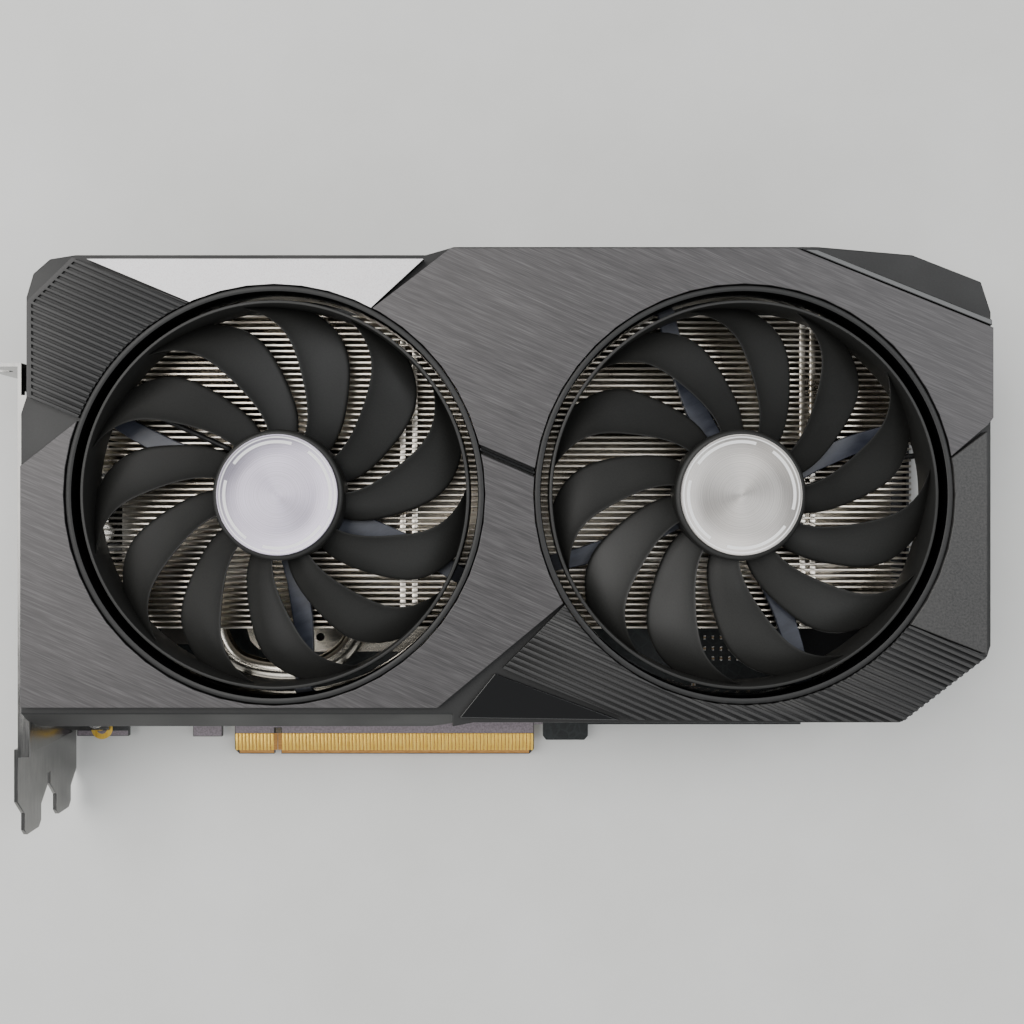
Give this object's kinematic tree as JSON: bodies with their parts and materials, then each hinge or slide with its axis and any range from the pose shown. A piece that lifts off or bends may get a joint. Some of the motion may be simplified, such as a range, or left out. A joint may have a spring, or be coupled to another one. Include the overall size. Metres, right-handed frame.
{
  "type": "graphics card",
  "caption": "Dual-fan graphics card with a moulded shroud, finned cooler, circuit board, backplate and two-slot bracket.",
  "frame": {"origin": "middle of the card's overall footprint, on the outer face of the backplate", "axes": "+X along the card from the bracket to the tail, +Y towards the top edge with the power socket, +Z towards the fans"},
  "size_m": [0.2534, 0.1478, 0.049],
  "materials": {
    "shroud_plastic": "moulded ABS, fine spark-eroded grain",
    "brushed_dark": "dark grey brushed finish",
    "sandblasted_silver": "sand-blasted silver",
    "gloss_black": "polished black",
    "fan_plastic": "moulded, satin",
    "spun_label": "spun, clear coated",
    "strut_plastic": "moulded, blue grey",
    "plated_steel": "bright nickel plate",
    "fin_aluminium": "mill finish",
    "nickel_copper": "nickel-plated copper",
    "copper_winding": "enamelled copper wire and oiled bronze",
    "ferrite": "bonded magnet",
    "board_laminate": "black solder mask",
    "chip_epoxy": "moulded epoxy",
    "socket_nylon": "moulded nylon",
    "lead_jacket": "soft PVC",
    "backplate_metal": "black anodised, fine grain"
  },
  "bodies": {
    "root": {"backplate": "backplate_metal", "backplate_screw_1": "plated_steel", "backplate_screw_2": "plated_steel", "backplate_screw_3": "plated_steel", "bracket_screw_1": "plated_steel", "bracket_screw_2": "plated_steel", "circuit_board": "board_laminate", "cold_plate": "nickel_copper", "cooler_frame": "nickel_copper", "display_port_1": "plated_steel", "display_port_2": "plated_steel", "display_port_3": "plated_steel", "fin_stack": "fin_aluminium", "gloss_corner_triangle": "gloss_black", "gloss_edge_strip": "gloss_black", "groove_inlay": "gloss_black", "hdmi_socket": "plated_steel", "heatpipe_1": "nickel_copper", "heatpipe_2": "nickel_copper", "heatpipe_3": "nickel_copper", "heatpipe_turned": "nickel_copper", "left_fan_bush": "copper_winding", "left_fan_duct": "shroud_plastic", "left_fan_frame": "strut_plastic", "left_fan_lead": "lead_jacket", "left_fan_stator": "copper_winding", "lower_brushed_plate": "brushed_dark", "memory_chip_1": "chip_epoxy", "memory_chip_2": "chip_epoxy", "memory_chip_3": "chip_epoxy", "memory_chip_4": "chip_epoxy", "memory_chip_5": "chip_epoxy", "memory_chip_6": "chip_epoxy", "power_socket": "socket_nylon", "processor_package": "chip_epoxy", "retention_cross": "plated_steel", "ribbed_corner_panel": "shroud_plastic", "ribbed_lower_panel": "shroud_plastic", "right_fan_bush": "copper_winding", "right_fan_duct": "shroud_plastic", "right_fan_frame": "strut_plastic", "right_fan_lead": "lead_jacket", "right_fan_stator": "copper_winding", "shroud_body": "shroud_plastic", "silver_trim_plate": "sandblasted_silver", "slot_bracket": "plated_steel", "spring_screw_1": "plated_steel", "spring_screw_2": "plated_steel", "spring_screw_3": "plated_steel", "spring_screw_4": "plated_steel", "tail_side_panel": "shroud_plastic", "upper_brushed_plate": "brushed_dark"},
    "left_rotor": {"left_fan_rotor": "fan_plastic", "left_fan_shaft": "plated_steel", "left_hub_label": "spun_label", "left_rotor_magnet": "ferrite"},
    "right_rotor": {"right_fan_rotor": "fan_plastic", "right_fan_shaft": "plated_steel", "right_hub_label": "spun_label", "right_rotor_magnet": "ferrite"}
  },
  "joints": [
    {"name": "left_fan_spin", "type": "hinge", "parent": "root", "child": "left_rotor", "pos_m": [-0.04866, 0.013, 0.04], "axis": [0, 0, 1], "continuous": true},
    {"name": "right_fan_spin", "type": "hinge", "parent": "root", "child": "right_rotor", "pos_m": [0.06564, 0.013, 0.04], "axis": [0, 0, 1], "continuous": true}
  ]
}
